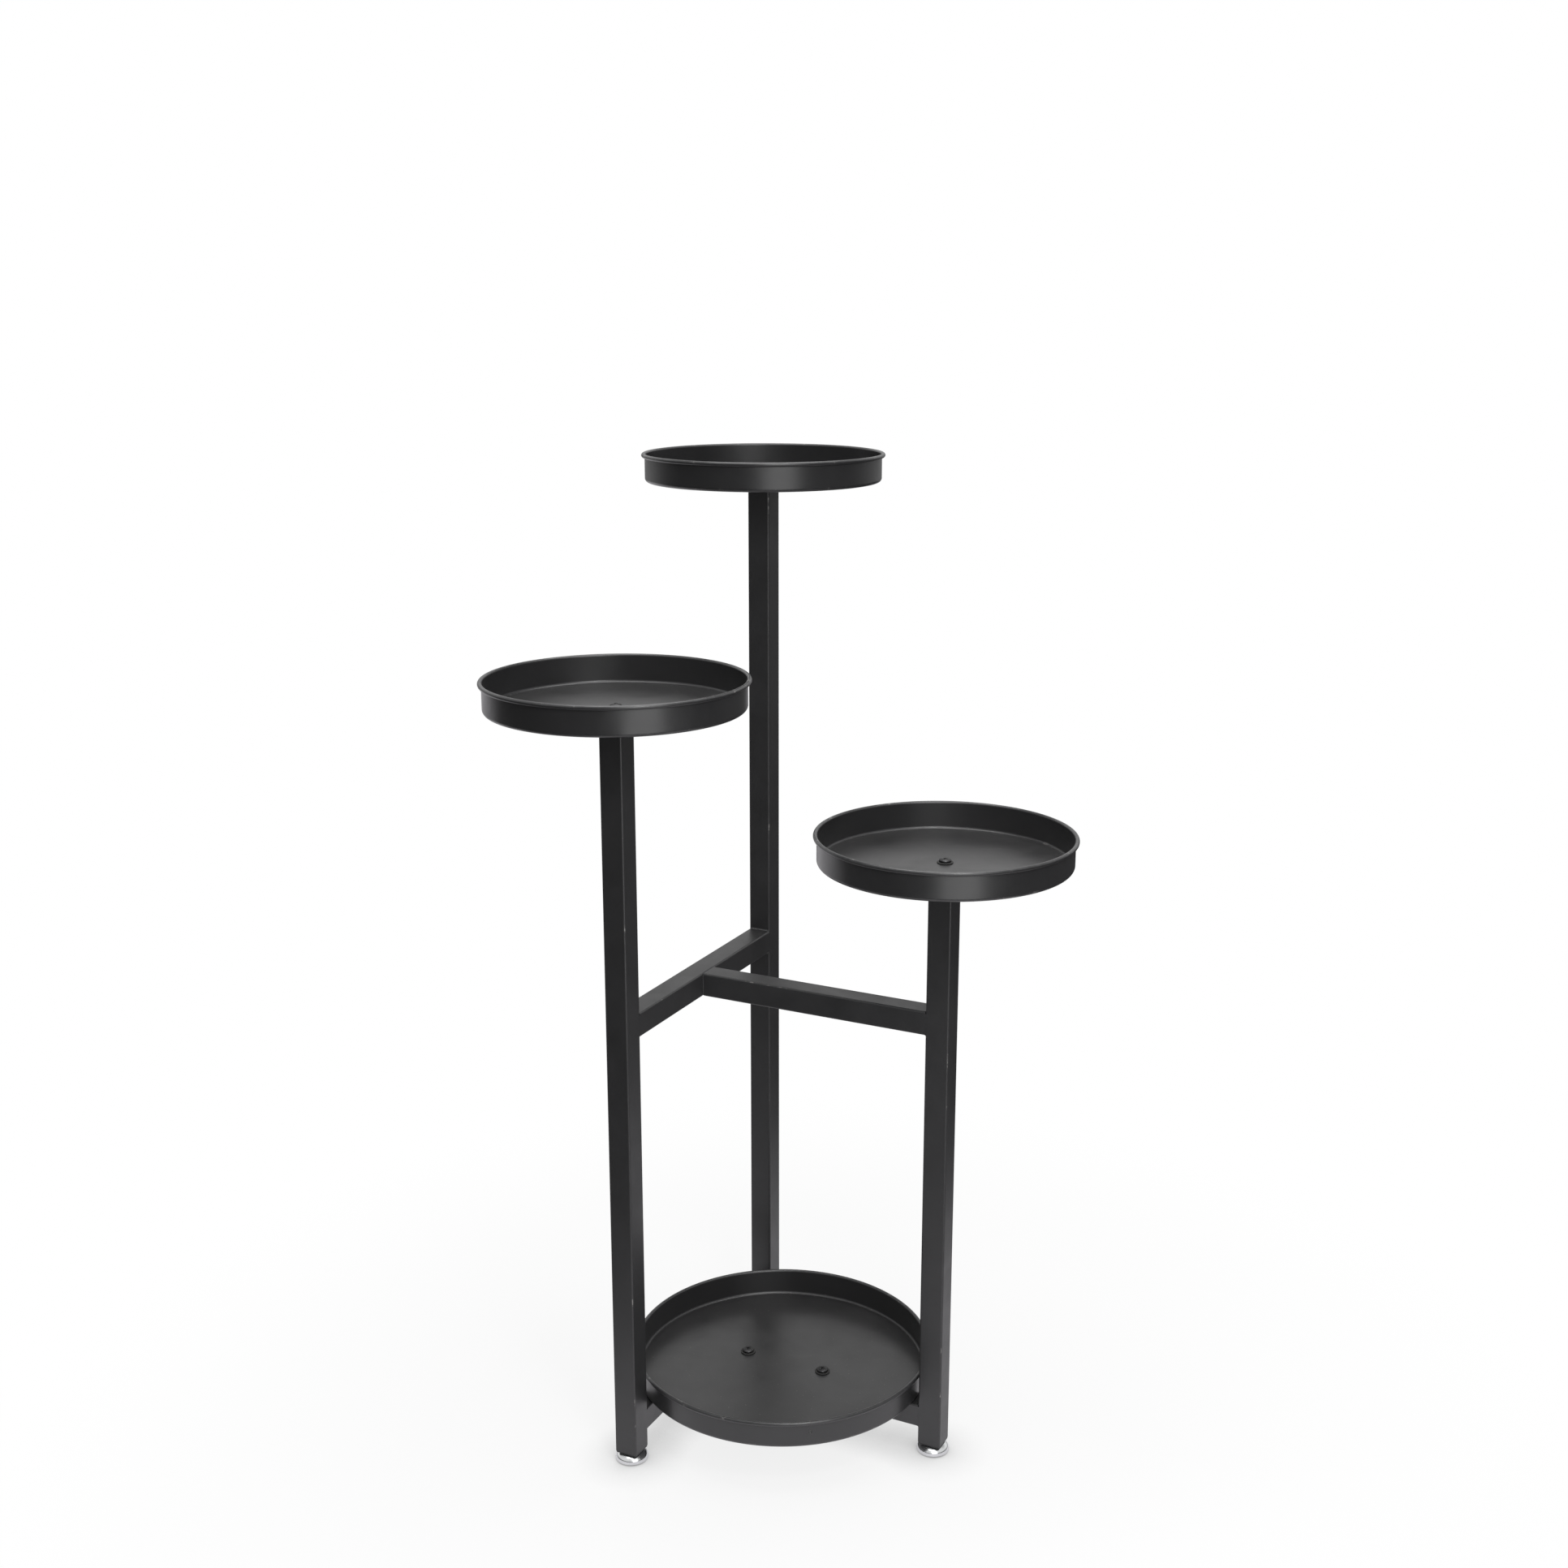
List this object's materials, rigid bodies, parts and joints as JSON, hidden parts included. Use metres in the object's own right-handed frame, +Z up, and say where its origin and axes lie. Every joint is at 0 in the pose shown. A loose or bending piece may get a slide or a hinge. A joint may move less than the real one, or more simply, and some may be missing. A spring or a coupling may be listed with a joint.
{
  "type": "tiered plant stand",
  "caption": "Tiered metal plant stand: square-tube posts of stepped height, each under a round rimmed tray, tied by T-shaped braces, with a wide low tray and screw-in levelling feet.",
  "frame": {"origin": "on the floor, at the middle of the outline seen from above", "axes": "+Z up, +X from the cross bars along the stems to the right post, +Y from the left post to the rear post"},
  "size_m": [0.5336, 0.566, 1.0183],
  "materials": {
    "powder_coat": "satin black powder coat with a fine texture",
    "chrome": "polished",
    "zinc": "bright zinc plate",
    "black_steel": "black oxide",
    "nylon": "moulded, fine grain",
    "rubber": "matte"
  },
  "bodies": {
    "stand": {"left_post": "powder_coat", "left_post_plate": "powder_coat", "left_weld_nut": "zinc", "left_tray": "powder_coat", "left_tray_washer": "rubber", "left_tray_screw": "black_steel", "left_foot_plug": "nylon", "left_foot_nut": "zinc", "rear_post": "powder_coat", "rear_post_plate": "powder_coat", "rear_weld_nut": "zinc", "rear_tray": "powder_coat", "rear_tray_washer": "rubber", "rear_tray_screw": "black_steel", "rear_foot_plug": "nylon", "rear_foot_nut": "zinc", "right_post": "powder_coat", "right_post_plate": "powder_coat", "right_weld_nut": "zinc", "right_tray": "powder_coat", "right_tray_washer": "rubber", "right_tray_screw": "black_steel", "right_foot_plug": "nylon", "right_foot_nut": "zinc", "upper_cross_bar": "powder_coat", "upper_stem_bar": "powder_coat", "lower_cross_bar": "powder_coat", "lower_stem_bar": "powder_coat", "low_tray": "powder_coat", "low_tray_rivet_nut_1": "zinc", "low_tray_washer_1": "rubber", "low_tray_screw_1": "black_steel", "low_tray_rivet_nut_2": "zinc", "low_tray_washer_2": "rubber", "low_tray_screw_2": "black_steel"},
    "left_foot_glide": {"left_foot_pad": "nylon"},
    "left_foot_screw": {"left_foot_dome": "chrome", "left_foot_stud": "zinc"},
    "rear_foot_glide": {"rear_foot_pad": "nylon"},
    "rear_foot_screw": {"rear_foot_dome": "chrome", "rear_foot_stud": "zinc"},
    "right_foot_glide": {"right_foot_pad": "nylon"},
    "right_foot_screw": {"right_foot_dome": "chrome", "right_foot_stud": "zinc"}
  },
  "joints": [
    {"name": "left_foot_travel", "type": "slide", "parent": "stand", "child": "left_foot_glide", "axis": [0, 0, -1], "range_m": [0, 0.01]},
    {"name": "left_foot_turn", "type": "hinge", "parent": "left_foot_glide", "child": "left_foot_screw", "pos_m": [-0.138, -0.154, 0.005], "axis": [0, 0, -1], "range_deg": [0, 2880]},
    {"name": "rear_foot_travel", "type": "slide", "parent": "stand", "child": "rear_foot_glide", "axis": [0, 0, -1], "range_m": [0, 0.01]},
    {"name": "rear_foot_turn", "type": "hinge", "parent": "rear_foot_glide", "child": "rear_foot_screw", "pos_m": [-0.138, 0.154, 0.005], "axis": [0, 0, -1], "range_deg": [0, 2880]},
    {"name": "right_foot_travel", "type": "slide", "parent": "stand", "child": "right_foot_glide", "axis": [0, 0, -1], "range_m": [0, 0.01]},
    {"name": "right_foot_turn", "type": "hinge", "parent": "right_foot_glide", "child": "right_foot_screw", "pos_m": [0.138, 0, 0.005], "axis": [0, 0, -1], "range_deg": [0, 2880]}
  ],
  "couplings": [
    {"joint": "left_foot_travel", "follows": "left_foot_turn", "m_per_rad": 0.00019894},
    {"joint": "rear_foot_travel", "follows": "rear_foot_turn", "m_per_rad": 0.00019894},
    {"joint": "right_foot_travel", "follows": "right_foot_turn", "m_per_rad": 0.00019894}
  ]
}
